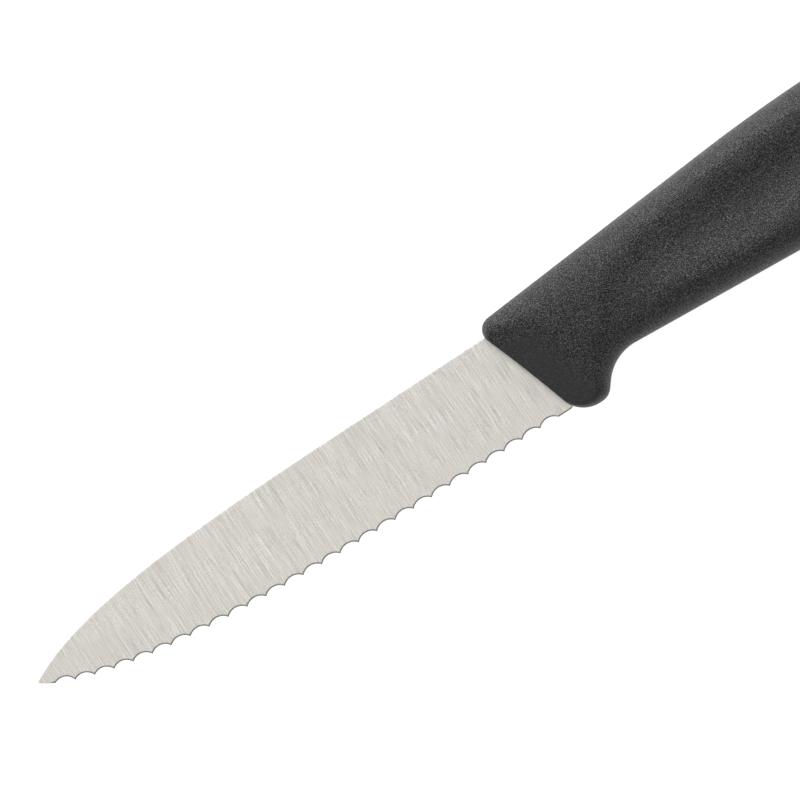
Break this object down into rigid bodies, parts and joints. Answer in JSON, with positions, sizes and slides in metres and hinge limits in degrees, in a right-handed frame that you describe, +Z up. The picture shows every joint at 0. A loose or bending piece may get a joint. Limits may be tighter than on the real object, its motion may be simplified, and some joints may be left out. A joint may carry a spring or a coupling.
{
  "type": "paring knife",
  "caption": "Small serrated paring knife: a thin drop-point steel blade with a scalloped edge, its tang set in a moulded plastic grip with a finger guard, lying on its side.",
  "frame": {"origin": "centre of the bottom of the knife's box, on the plane that its side lies on", "axes": "+X from the blade's point to the butt of the grip, +Y from the cutting edge to the spine, +Z up through the knife's thickness"},
  "size_m": [0.1882, 0.0222, 0.0126],
  "materials": {
    "blade_steel": "ground across the blade, satin",
    "handle_plastic": "fine spark-eroded grain, satin to matt"
  },
  "bodies": {
    "root": {"blade": "blade_steel", "handle": "handle_plastic"}
  },
  "joints": []
}
